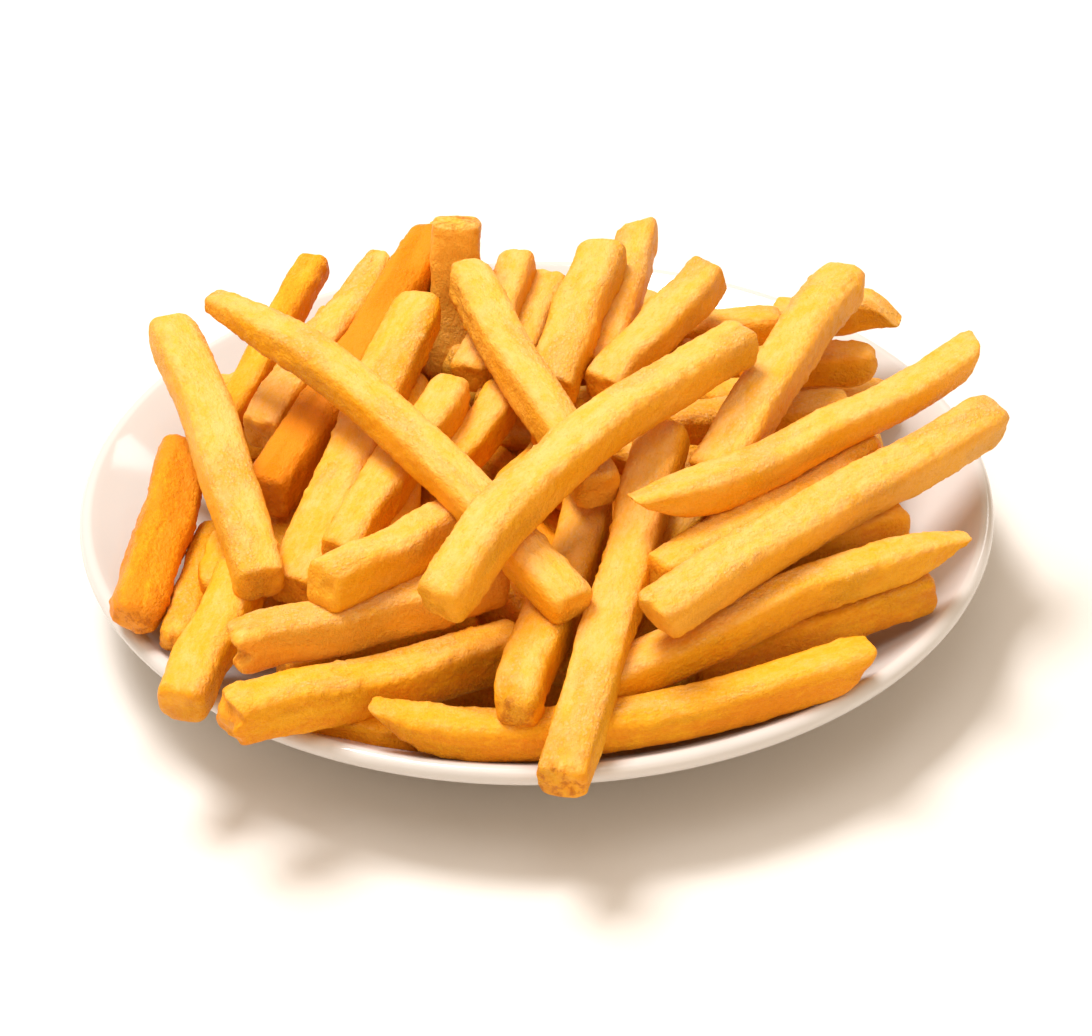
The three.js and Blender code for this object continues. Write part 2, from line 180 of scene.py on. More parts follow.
BACK_FRIES = [
    # Its tone is set very pale to lift its upright side out of shade: painted light.
    fry([-17.5, 49, 69.9], [-20, 39, 33], 12, 10, turn=16, tone=-1.0, browned=(0.9, 0.4)),
    fry([-6, 8.5, 47], [-20, -17, 42], 9, 9, tone=0.6),
    fry([-3, 56, 53.5], [-15, 15, 47], 9, 9, skew=(-1.5, 0), tone=0.2),
    fry([4, 56, 48.5], [-10, 11.5, 40.5], 9, 9, tone=0.3),
    fry([16.5, 48.5, 60.5], [3, 4, 50], 11.5, 10, skew=(-2, 0), tone=0.3, browned=(0.3, 0.3)),
    fry([24.5, 65, 56.5], [14, 21.5, 45], 10, 10, (-1.5, 0), skew=(-6, 0), tone=0.3, browned=(0.5, 0.3)),
    fry([42, 46, 56], [15, 8, 48], 10, 9.5, tone=0.25, browned=(0.5, 0.3)),
    fry([22, 45.5, 40], [58.5, 47.5, 39.5], 9, 9, tone=0.35),
    fry([30, -2.5, 45], [72, 8.5, 41], 9, 9, tone=0.5),
    fry([74, 41, 58], [39, -32, 50], 11.5, 10, (0, 3), ends=("round", "cut"), tone=0.35,
        browned=(0.4, 0.2)),
    fry([85.5, 47.5, 45], [58.5, 55, 37.5], 9, 9, ends=("beak", "cut"), tone=0.3, browned=(0.3, 0.3)),
    fry([80, 26, 44], [49, 31, 38], 10, 9, ends=("round", "cut"), tone=0.5, browned=(0.6, 0.5)),
]

# The back of the heap: fries that lie outwards over its slope and lean on the plate's wall.
SLOPE_COUNT = 13
SLOPE_FROM = 0.13 * math.pi
SLOPE_TO = 0.9 * math.pi
SLOPE_INNER = (42.0, 38.0)  # radius and height
SLOPE_OUTER = (89.0, 25.5)
SLOPE_SIZE = 10.0
SLOPE_TONE = 0.5
# How much each one differs from the next, and how fast that changes from one to the next.
SPREAD_VARIES = (0.3, 5.1)  # a share of the gap between two
SWING_VARIES = (0.35, 2.3)  # radians
INNER_VARIES = (7.0, 3.7)  # mm
OUTER_VARIES = (4.0, 1.9)
HEIGHT_VARIES = (3.0, 4.3)
TURN_VARIES = (30.0, 6.1)  # degrees
TONE_VARIES = (0.25, 7.7)
OVERHANG = fry([-14, 60, 40], [-22, 112, 29], 10, 9, tone=0.5)
LOW_FRIES = [  # what shows between the laid ones
    fry([-42, 44, 28], [-8, 56, 30], tone=0.6),
    fry([-6, 50, 24], [28, 48, 24], tone=0.7),
    fry([-55, -70, 27], [-14, -54, 27], tone=0.8),
    fry([-62, -56, 26], [-56, -12, 27], tone=0.8),
]

# The fries under these, found by trying places at random and keeping those with room.
FILL_SEED = 7
FILL_TRIES = 20000
FILL_MOST = 90
FILL_LENGTHS = (38.0, 78.0)
FILL_SIZES = (8.5, 10.5)
FILL_RADIUS = 88.0
FILL_LAYERS = (4.0, 0.0, -5.0, -10.0, -15.0)  # mm above or below the heap's surface
FILL_THICKNESS = (0.9, 1.05)  # shares of its width
FILL_TURN = 45.0  # degrees at most
FILL_TONES = (0.5, 0.9)
FILL_BROWNED = (0.2, 0.8)
FILL_REACH = 97.0  # the radius that its middle line stays within
FILL_UNDER = 0.62  # how far its underside lies below its middle, as a share of its size
LAID_POINTS = 22  # points along a laid fry that room and sight are measured to
FILL_POINTS = 14
FOUND_POINTS = 16
POINTS_FROM, POINTS_TO = 0.03, 0.97
OUT_OF_SIGHT = 1e3  # mm, more than any real distance
FILL_ROOM = 0.8  # least distance between two fries' middles, as a share of their size
FILL_SIGHT = 7.5  # mm a hidden fry's middle may stand off the line of sight to a laid one
GAP_RADIUS = 62.0  # nearer the middle than this, it may show in the gaps
GAP_SIGHT = 13.0
COVER_DEPTH = 2.0  # mm under the heap's surface at which the heap itself hides it
COVER_FROM = 20.0  # y, behind which that counts
COVER_STEPS = (8.0, 16.0, 24.0, 32.0)  # mm towards the eye
HEAP_HEIGHT = 44.0
HEAP_EDGE = 17.0
HEAP_FULLNESS = 2.6
PLATE_ROOM = 0.8  # mm between a fry and the plate
CORE_CENTRE = (0.0, -14.0)
CORE_RADIUS = 54.0
CORE_HEIGHT = 34.0
CORE_RIM = 8.0  # its height at its edge
CORE_FULLNESS = 6.0
CORE_EDGE = 1.0
CORE_RIDGE = 10.5  # its top is ridged like fries side by side
CORE_GROOVE = 3.5
CORE_TURN = 0.6
CORE_TONE = 0.9
CORE_SIDES = 180
CORE_STEPS = 40


# ---- Noise ----

def lattice(x, y, z, seed):
    """A repeatable value from -1 to 1 for each whole-number place."""
    n = x * np.uint32(374761393) + y * np.uint32(668265263) + z * np.uint32(2246822519)
    n = n + np.uint32((seed * 3266489917) & 0xFFFFFFFF)
    n = (n ^ (n >> np.uint32(13))) * np.uint32(1274126177)
    n = n ^ (n >> np.uint32(16))
    return n.astype(np.float64) / 0x7FFFFFFF - 1.0


def noise(points, seed):
    """Smooth noise from -1 to 1 with features about one unit across."""
    base = np.floor(points)
    part = points - base
    part = part * part * part * (part * (part * 6 - 15) + 10)
    cell = base.astype(np.int64).astype(np.uint32)
    total = np.zeros(len(points))
    for dx in (0, 1):
        for dy in (0, 1):
            for dz in (0, 1):
                weight = np.ones(len(points))
                for axis, step in enumerate((dx, dy, dz)):
                    weight = weight * (part[:, axis] if step else 1 - part[:, axis])
                corner = [cell[:, axis] + np.uint32(step) for axis, step in enumerate((dx, dy, dz))]
                total += weight * lattice(*corner, seed)
    return total


# ---- Fries ----

def unit(vector):
    return vector / np.linalg.norm(vector)


def straight_frame(f):
    along = unit(f["end"] - f["start"])
    side = unit(np.cross(along, UP))
    return along, side, np.cross(side, along)


def centre_line(f, t):
    """Points and directions down a fry's middle, at the shares t of its length."""
    _, side, up = straight_frame(f)
    control = f["start"] + (f["end"] - f["start"]) * f["peak"] + 2 * side * f["bow"][0] + 2 * up * f["bow"][1]
    t = np.asarray(t, float)[:, None]
    points = (1 - t) ** 2 * f["start"] + 2 * t * (1 - t) * control + t * t * f["end"]
    slopes = 2 * (1 - t) * (control - f["start"]) + 2 * t * (f["end"] - control)
    return points, slopes / np.linalg.norm(slopes, axis=1)[:, None]


def length_of(f):
    points, _ = centre_line(f, np.linspace(0, 1, LENGTH_POINTS))
    return float(np.linalg.norm(np.diff(points, axis=0), axis=1).sum())


def rounded_square(count, power):
    """Evenly spaced points round a square with soft corners, half its width being 1."""
    a = np.linspace(0, 2 * math.pi, OUTLINE_POINTS)
    c, s = np.cos(a), np.sin(a)
    x, y = np.sign(c) * np.abs(c) ** power, np.sign(s) * np.abs(s) ** power
    run = np.concatenate([[0], np.cumsum(np.hypot(np.diff(x), np.diff(y)))])
    at = np.arange(count) * run[-1] / count
    return np.interp(at, run, x), np.interp(at, run, y)


def narrowing(share_left, over, distance):
    share = np.clip(distance / over, 0, 1)
    return share_left + (1 - share_left) * np.sin(share * math.pi / 2)


def end_rings(end, half):
    """(distance from the end, size) of the rings on its cut face and rounded edge, from the middle out."""
    rings = [(0.0, share * (1 - end["fillet"] / half)) for share in CAP_RINGS]
    for i in range(FILLET_STEPS):
        a = (i + 0.5) / FILLET_STEPS * math.pi / 2
        rings.append((end["fillet"] * (1 - math.cos(a)), 1 - end["fillet"] * (1 - math.sin(a)) / half))
    return rings


def ring_stations(f, length, step):
    first, last = (ENDS[name] for name in f["ends"])
    half = min(f["wide"], f["thick"]) / 2
    head, tail = (end_rings(end, half * min(end["wide"], 0.6 + 0.4 * end["thick"])) for end in (first, last))
    tail = [(length - s, size) for s, size in reversed(tail)]
    count = max(6, int((length - first["fillet"] - last["fillet"]) / step))
    middle = [(s, 1.0) for s in np.linspace(first["fillet"], length - last["fillet"], count)]
    return np.array(head + middle + tail)


def fry_mesh(f, seed, detail):
    """Points, triangles and per-point values of one fry, in millimetres."""
    rng = np.random.default_rng(seed)
    length = length_of(f)
    first, last = (ENDS[name] for name in f["ends"])
    over_first = min(first["over"], LONGEST_END * length)
    over_last = min(last["over"], LONGEST_END * length)
    stations = ring_stations(f, length, detail["step"])
    s, size = stations[:, 0], stations[:, 1]
    t = s / length
    x, z = rounded_square(detail["sides"], rng.uniform(*SQUARENESS))
    middle, direction = centre_line(f, t)
    side = np.cross(direction, UP)
    side /= np.linalg.norm(side, axis=1)[:, None]
    up = np.cross(side, direction)
    roll = np.radians(f["turn"] + rng.uniform(-TWIST, TWIST) * (t - 0.5))[:, None]
    side, up = side * np.cos(roll) + up * np.sin(roll), up * np.cos(roll) - side * np.sin(roll)

    # A hand-cut fry isn't quite straight or quite even.
    phase = rng.uniform(0, 2 * math.pi, 4)
    sway = sum(np.sin(t * math.pi * waves + p) * size for (waves, size), p in zip(SWAY, phase[:2]))
    heave = sum(np.sin(t * math.pi * waves + p) * size for (waves, size), p in zip(HEAVE, phase[2:]))
    middle = middle + side * sway[:, None] + up * heave[:, None]
    narrow = {key: narrowing(first[key], over_first, s) * narrowing(last[key], over_last, length - s)
              for key in ("wide", "thick")}
    wide, thick = f["wide"] / 2 * narrow["wide"], f["thick"] / 2 * narrow["thick"]
    lift = (f["thick"] / 2 - thick) * np.where(t < 0.5, first["lift"], last["lift"])
    middle = middle + up * lift[:, None]
    swell = 1 + SWELL * np.sin(t * math.pi * SWELL_WAVES + phase[1] * 2)
    growth = 1 + f["taper"] * (t - 0.5)
    wide, thick = wide * swell * growth, thick * (2 - swell) * growth

    across = x[None, :] * (wide * size)[:, None]
    above = z[None, :] * (thick * size)[:, None]
    near_first, near_last = (1 - t) ** LEAN_POWER, t ** LEAN_POWER
    leaning = last["lean"] * near_last - first["lean"] * near_first
    skewing = f["skew"][1] * near_last - f["skew"][0] * near_first
    lean = (leaning[:, None] * z[None, :] + skewing[:, None] * x[None, :]) * size[:, None] / 2
    grid = (middle[:, None] + side[:, None] * across[..., None] + up[:, None] * above[..., None]
            + direction[:, None] * lean[..., None])

    # Outward directions from the grid's own neighbours.
    forward = np.gradient(grid, axis=0)
    around = np.roll(grid, -1, axis=1) - np.roll(grid, 1, axis=1)
    normal = np.cross(around, forward)
    normal /= np.linalg.norm(normal, axis=2)[..., None] + 1e-9
    outward = (normal * (grid - middle[:, None])).sum(axis=2).mean()
    normal *= math.copysign(1, outward)

    local = np.stack([np.broadcast_to(s[:, None], across.shape) + lean, across, above], axis=2)
    local = local.reshape(-1, 3)
    place = local + rng.uniform(0, APART, 3)
    waves = noise(place * WAVES[0], 1) * WAVES[1]
    lumps = noise(place * LUMPS[0], 2) * LUMPS[1]
    blistered = np.clip(noise(place * BLISTER_ZONES, 3) * ZONE_CONTRAST + f["tone"], 0, 1)
    blisters = np.clip(noise(place * BLISTERS[0], 4), 0, 1) ** 1.5 * BLISTERS[1] * blistered
    blisters = blisters + noise(place * GRIT[0], 5) * GRIT[1]
    from_end = np.minimum(s, length - s)[:, None] + np.zeros_like(across)
    ragged = np.where(t < 0.5, first["ragged"], last["ragged"])[:, None] * np.exp(-from_end / TEAR_DEPTH)
    tear = noise(place * TEAR_GRAIN, 6).reshape(across.shape) * ragged
    push = (waves + lumps + blisters).reshape(across.shape)
    grid = grid + normal * push[..., None]
    grid = grid + direction[:, None] * (tear * np.where(t < 0.5, -1, 1)[:, None])[..., None]

    points = grid.reshape(-1, 3)
    rings, sides = across.shape
    caps = np.array([grid[0].mean(axis=0), grid[-1].mean(axis=0)])
    points = np.concatenate([points, caps])
    faces = grid_faces(rings, sides)

    corner = np.clip((np.abs(x) * np.abs(z) - CORNER_FROM) / CORNER_OVER, 0, 1)
    brown_first = f["browned"][0] * np.exp(-s / BROWN_DEPTH)
    brown_last = f["browned"][1] * np.exp(-(length - s) / BROWN_DEPTH)
    brown = np.repeat(np.maximum(brown_first, brown_last), sides)
    values = {
        "grain": np.concatenate([local, [[0, 0, 0], [length, 0, 0]]]) + rng.uniform(0, APART, 3),
        "brown": np.concatenate([brown, f["browned"]]),
        "corner": np.concatenate([np.outer(size, corner).ravel(), [0, 0]]),
        "tone": np.full(len(points), f["tone"] + rng.uniform(-TONE_SPREAD, TONE_SPREAD)),
        "cutface": np.concatenate([np.repeat(np.clip((CUT_FROM - size) * CUT_GROWTH, 0, 1), sides), [1, 1]]),
        # How far each point faces up, which the material uses to paint tops paler and sides deeper: painted
        # light and shade.
        "upward": np.concatenate([normal[..., 2].ravel(), [0, 0]]),
    }
    return points, outward_faces(points, faces), values


def grid_faces(rings, sides):
    """Triangles of a tube of rings, closed at both ends by a fan to its two last points."""
    k, j = np.meshgrid(np.arange(rings - 1), np.arange(sides), indexing="ij")
    a, b = k * sides + j, k * sides + (j + 1) % sides
    c, d = b + sides, a + sides
    body = [np.stack(corners, -1).reshape(-1, 3) for corners in ([a, b, c], [a, c, d])]
    i = np.arange(sides)
    n = (i + 1) % sides
    first, last, top = rings * sides, rings * sides + 1, (rings - 1) * sides
    fans = [np.stack([n, i, first + 0 * i], -1), np.stack([top + i, top + n, last + 0 * i], -1)]
    return np.concatenate(body + fans)


def outward_faces(points, faces):
    p = points - points.mean(axis=0)
    volume = np.einsum("ij,ij->", p[faces[:, 0]], np.cross(p[faces[:, 1]], p[faces[:, 2]]))
    return faces if volume > 0 else faces[:, ::-1]


def mesh_object(name, points, faces, values, material):
    mesh = bpy.data.meshes.new(name)
    mesh.from_pydata((points * MM).tolist(), [], faces.tolist())
    for key, data in values.items():
        kind = "FLOAT_VECTOR" if data.ndim == 2 else "FLOAT"
        attribute = mesh.attributes.new(key, kind, "POINT")
        attribute.data.foreach_set("vector" if data.ndim == 2 else "value", data.astype(np.float32).ravel())
    mesh.shade_smooth()
    mesh.materials.append(material)
    piece = bpy.data.objects.new(name, mesh)
    bpy.context.scene.collection.objects.link(piece)
    return piece


def make_fries(name, fries, seed, detail, material):
    """One joined piece from a list of fries."""
    all_points, all_faces, all_values, start = [], [], {}, 0
    for number, f in enumerate(fries):
        points, faces, values = fry_mesh(f, seed * 1000 + number, detail)
        all_points.append(points)
        all_faces.append(faces + start)
        for key, data in values.items():
            all_values.setdefault(key, []).append(data)
        start += len(points)
    values = {key: np.concatenate(parts) for key, parts in all_values.items()}
    faces = np.concatenate(all_faces)
    if len(faces) > MAX_TRIANGLES:
        raise ValueError(f"{name} has {len(faces)} triangles")
    piece = mesh_object(name, np.concatenate(all_points), faces, values, material)
    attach(piece, "root")
    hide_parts("fries")
    return piece


def vary(varies, number):
    amount, pace = varies
    return amount * math.sin(number * pace)


def slope_fry(number):
    share = (number + vary(SPREAD_VARIES, number)) / (SLOPE_COUNT - 1)
    angle = SLOPE_FROM + (SLOPE_TO - SLOPE_FROM) * share
    swung = angle + vary(SWING_VARIES, number)
    inner = SLOPE_INNER[0] + vary(INNER_VARIES, number)
    outer = SLOPE_OUTER[0] + vary(OUTER_VARIES, number)
    start = [inner * math.cos(angle), inner * math.sin(angle), SLOPE_INNER[1] + vary(HEIGHT_VARIES, number)]
    end = [outer * math.cos(swung), outer * math.sin(swung), SLOPE_OUTER[1]]
    ends = (COMMON_ENDS[number % len(COMMON_ENDS)], COMMON_ENDS[(number * 3 + 1) % len(COMMON_ENDS)])
    return fry(start, end, SLOPE_SIZE, SLOPE_SIZE, turn=vary(TURN_VARIES, number), ends=ends,
               tone=SLOPE_TONE + vary(TONE_VARIES, number))


def bowl_height(radius):
    """Height of the plate's upper surface."""
    outer = RIM_RADIUS - WALL / 2 - WALL / 2 * math.sin(LIP_TILT)
    top = RIM_HEIGHT - WALL / 2 + WALL / 2 * math.cos(LIP_TILT)
    rise = np.clip((np.asarray(radius, float) - WELL_RADIUS) / (outer - WELL_RADIUS), 0, 1)
    return WELL_HEIGHT + (top - WELL_HEIGHT) * rise ** WALL_CURVE


def heap_height(radius):
    share = np.clip(np.asarray(radius, float) / FILL_RADIUS, 0, 1)
    return HEAP_HEIGHT - (HEAP_HEIGHT - HEAP_EDGE) * share ** HEAP_FULLNESS


def line_points(f, count):
    return centre_line(f, np.linspace(POINTS_FROM, POINTS_TO, count))[0]


def hidden(line, out, seen, eye):
    """Whether each point of a line is out of the camera's sight: behind a laid fry or under the heap."""
    to_eye = eye - line
    to_eye /= np.linalg.norm(to_eye, axis=1)[:, None]
    offset = seen[None] - line[:, None]
    ahead = (offset * to_eye[:, None]).sum(axis=2)
    miss = np.linalg.norm(offset - ahead[..., None] * to_eye[:, None], axis=2)
    allowed = np.where(out < GAP_RADIUS, GAP_SIGHT, FILL_SIGHT)
    behind_laid = np.where(ahead > 0, miss, OUT_OF_SIGHT).min(axis=1) < allowed
    before = line[:, None] + to_eye[:, None] * np.array(COVER_STEPS)[:, None]
    covered = before[..., 2] < heap_height(np.hypot(before[..., 0], before[..., 1])) - COVER_DEPTH
    return behind_laid | covered.any(axis=1) & (line[:, 1] > COVER_FROM)


def fill_fries(laid, eye):
    """Fries that fill the heap under the laid ones: each has room, clears the plate and stays nearly out of
    the camera's sight."""
    rng = np.random.default_rng(FILL_SEED)
    seen = np.concatenate([line_points(f, LAID_POINTS) for f in laid])
    taken = seen.copy()
    sizes = np.concatenate([np.full(LAID_POINTS, (f["wide"] + f["thick"]) / 2) for f in laid])
    found = []
    for _ in range(FILL_TRIES):
        if len(found) == FILL_MOST:
            break
        radius, angle = FILL_RADIUS * math.sqrt(rng.random()), rng.uniform(0, 2 * math.pi)
        heading = rng.uniform(0, math.pi)
        reach, size = rng.uniform(*FILL_LENGTHS) / 2, rng.uniform(*FILL_SIZES)
        layer = FILL_LAYERS[rng.integers(len(FILL_LAYERS))]
        middle = np.array([radius * math.cos(angle), radius * math.sin(angle)])
        ends = [middle + sign * reach * np.array([math.cos(heading), math.sin(heading)]) for sign in (-1, 1)]
        start, end = ([*e, float(heap_height(np.hypot(*e))) + layer] for e in ends)
        thick = size * rng.uniform(*FILL_THICKNESS)
        candidate = fry(start, end, size, thick, turn=rng.uniform(-FILL_TURN, FILL_TURN))
        line, _ = centre_line(candidate, np.linspace(0, 1, FILL_POINTS))
        out = np.hypot(line[:, 0], line[:, 1])
        if (out > FILL_REACH).any() or (line[:, 2] - size * FILL_UNDER < bowl_height(out) + PLATE_ROOM).any():
            continue
        gaps = np.linalg.norm(line[:, None] - taken[None], axis=2)
        if (gaps < FILL_ROOM * (size + sizes[None]) / 2).any():
            continue
        if not hidden(line, out, seen, eye).all():
            continue
        candidate["tone"] = float(rng.uniform(*FILL_TONES))
        candidate["browned"] = tuple(rng.uniform(*FILL_BROWNED, 2))
        candidate["ends"] = tuple(rng.choice(COMMON_ENDS, 2))
        found.append(candidate)
        taken = np.concatenate([taken, line_points(candidate, FOUND_POINTS)])
        sizes = np.concatenate([sizes, np.full(FOUND_POINTS, size)])
    return found


# ---- Plate and core ----

def turned(profile, sides):
    """Points and triangles of a surface turned about Z from a profile that starts and ends on the axis."""
    inner = profile[1:-1]
    a = np.arange(sides) * 2 * math.pi / sides
    rings = np.array([[(r * math.cos(b), r * math.sin(b), z) for b in a] for r, z in inner])
    points = np.concatenate([rings.reshape(-1, 3), [[0, 0, profile[0][1]], [0, 0, profile[-1][1]]]])
    return points, outward_faces(points, grid_faces(len(inner), sides))


def corner_arc(x, z, radius, start):
    """Points round a quarter circle, from the angle start."""
    angles = [start + i / FOOT_EDGE_STEPS * math.pi / 2 for i in range(FOOT_EDGE_STEPS + 1)]
    return [(x + radius * math.cos(a), z + radius * math.sin(a)) for a in angles]


def plate_profile():
    under = WELL_HEIGHT - WALL
    lip_x, lip_z = RIM_RADIUS - WALL / 2, RIM_HEIGHT - WALL / 2
    outer = lip_x - WALL / 2 * math.sin(LIP_TILT)
    wall = []
    for i in range(WALL_STEPS):
        radius = WELL_RADIUS + (outer - WELL_RADIUS) * i / WALL_STEPS
        slope = math.atan(bowl_height(radius + 0.5) - bowl_height(radius - 0.5))
        wall.append((radius, float(bowl_height(radius)), slope))
    below = [(r + WALL * math.sin(a), z - WALL * math.cos(a)) for r, z, a in wall]
    below = [p for p in below if p[0] > FOOT_OUTER + 2]
    lip = [LIP_TILT - math.pi / 2 + math.pi * i / LIP_STEPS for i in range(LIP_STEPS + 1)]
    inside = [(WELL_RADIUS * i / WELL_STEPS, WELL_HEIGHT) for i in range(WELL_STEPS - 1, 0, -1)]
    return [
        (0, under), (FOOT_INNER * 0.5, under), (FOOT_INNER - 1.5, under),
        (FOOT_INNER - 0.3, under - FOOT_FILLET), (FOOT_INNER, FOOT_EDGE + 0.5),
        *corner_arc(FOOT_INNER + FOOT_EDGE, FOOT_EDGE, FOOT_EDGE, math.pi),
        *corner_arc(FOOT_OUTER - FOOT_EDGE, FOOT_EDGE, FOOT_EDGE, 1.5 * math.pi),
        (FOOT_OUTER, under - FOOT_FILLET), (FOOT_OUTER + 0.6, under),
        *below,
        *[(lip_x + WALL / 2 * math.cos(a), lip_z + WALL / 2 * math.sin(a)) for a in lip],
        *[(r, z) for r, z, _ in reversed(wall)],
        *inside,
        (0, WELL_HEIGHT),
    ]


def make_plate(material):
    points, faces = turned(plate_profile(), PLATE_SIDES)
    plate = mesh_object("glazed_plate", points, faces, {}, material)
    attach(plate, "root")
    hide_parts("plate")


def make_core(material):
    """The smaller solid under the fries. It stands a little towards the plate's front."""
    radii = [CORE_RADIUS * i / CORE_STEPS for i in range(CORE_STEPS + 1)]
    top = [(r, CORE_HEIGHT - (CORE_HEIGHT - CORE_RIM) * (r / CORE_RADIUS) ** CORE_FULLNESS) for r in radii]
    points, faces = turned([(r, 0.0) for r in radii] + top[::-1], CORE_SIDES)
    points[:, :2] += CORE_CENTRE
    ground = bowl_height(np.hypot(points[:, 0], points[:, 1])) + PLATE_ROOM
    across = points[:, 0] * math.cos(CORE_TURN) + points[:, 1] * math.sin(CORE_TURN)
    along = points[:, 1] * math.cos(CORE_TURN) - points[:, 0] * math.sin(CORE_TURN)
    groove = (1 - np.abs(np.sin(math.pi * across / CORE_RIDGE))) ** 2
    relief = points[:, 2] - CORE_GROOVE * groove
    points[:, 2] = np.where(points[:, 2] > 0, np.maximum(relief, ground + CORE_EDGE), ground)
    even = np.ones(len(points))
    values = {"grain": np.stack([along, across, points[:, 2]], axis=1), "brown": 0 * even, "corner": groove,
              "tone": CORE_TONE * even, "cutface": 0 * even, "upward": 0 * even}
    core = mesh_object("core", points, faces, values, material)
    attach(core, "root")


# ---- Materials ----

class Nodes:
    """A short way to write a material's node tree."""

    def __init__(self, name):
        self.material = bpy.data.materials.new(name)
        self.material.use_nodes = True
        self.tree = self.material.node_tree
        self.tree.nodes.clear()
        self.shader = self.add("ShaderNodeBsdfPrincipled")
        output = self.add("ShaderNodeOutputMaterial")
        self.tree.links.new(self.shader.outputs[0], output.inputs["Surface"])

    def add(self, kind, **settings):
        node = self.tree.nodes.new(kind)
        for key, value in settings.items():
            setattr(node, key, value)
        return node

    def put(self, socket, value):
        if isinstance(value, bpy.types.NodeSocket):
            self.tree.links.new(value, socket)
        else:
            socket.default_value = value

    def attribute(self, name, output="Fac"):
        return self.add("ShaderNodeAttribute", attribute_name=name).outputs[output]

    def math(self, operation, a, b=0.0, clamp=False):
        node = self.add("ShaderNodeMath", operation=operation, use_clamp=clamp)
        self.put(node.inputs[0], a)
        self.put(node.inputs[1], b)
        return node.outputs[0]

    def scaled(self, vector, scale):
        node = self.add("ShaderNodeVectorMath", operation="MULTIPLY")
        self.put(node.inputs[0], vector)
        self.put(node.inputs[1], scale)
        return node.outputs[0]

    def noise(self, vector, scale, detail=2.0, roughness=0.5):
        node = self.add("ShaderNodeTexNoise")
        self.put(node.inputs["Vector"], vector)
        self.put(node.inputs["Scale"], scale)
        self.put(node.inputs["Detail"], detail)
        self.put(node.inputs["Roughness"], roughness)
        return node.outputs["Fac"]

    def cells(self, vector, scale, smoothness):
        node = self.add("ShaderNodeTexVoronoi", feature="SMOOTH_F1")
        self.put(node.inputs["Vector"], vector)
        self.put(node.inputs["Scale"], scale)
        self.put(node.inputs["Smoothness"], smoothness)
        return node.outputs["Distance"]

    def between(self, value, low, high, out_low=0.0, out_high=1.0):
        node = self.add("ShaderNodeMapRange", interpolation_type="SMOOTHSTEP")
        self.put(node.inputs["Value"], value)
        for name, limit in zip(("From Min", "From Max", "To Min", "To Max"), (low, high, out_low, out_high)):
            self.put(node.inputs[name], limit)
        return node.outputs["Result"]

    def mix(self, share, a, b):
        node = self.add("ShaderNodeMix", data_type="RGBA")
        self.put(node.inputs[0], share)
        self.put(node.inputs[6], a)
        self.put(node.inputs[7], b)
        return node.outputs[2]

    def bump(self, height, strength, distance):
        node = self.add("ShaderNodeBump")
        self.put(node.inputs["Height"], height)
        self.put(node.inputs["Strength"], strength)
        self.put(node.inputs["Distance"], distance)
        return node.outputs["Normal"]


def colour(r, g, b):
    return (r, g, b, 1.0)


# A pale cream used only for painted glints and for painted light on faces that face up.
PAINTED_LIGHT_CREAM = colour(0.97, 0.58, 0.22)
PALE = colour(0.96, 0.46, 0.04)
GOLD = colour(0.93, 0.42, 0.006)
DEEP = colour(0.83, 0.265, 0.002)
BROWN = colour(0.45, 0.11, 0.003)
FLESH = colour(0.95, 0.50, 0.06)
GLAZE = (colour(0.63, 0.605, 0.585), colour(0.66, 0.635, 0.615))
GLAZE_SPECK = colour(0.6, 0.52, 0.42)
BARE_CLAY = (colour(0.68, 0.64, 0.58), colour(0.78, 0.74, 0.68))
FLOOR_TINTS = (colour(0.76, 0.73, 0.7), colour(0.78, 0.75, 0.72))


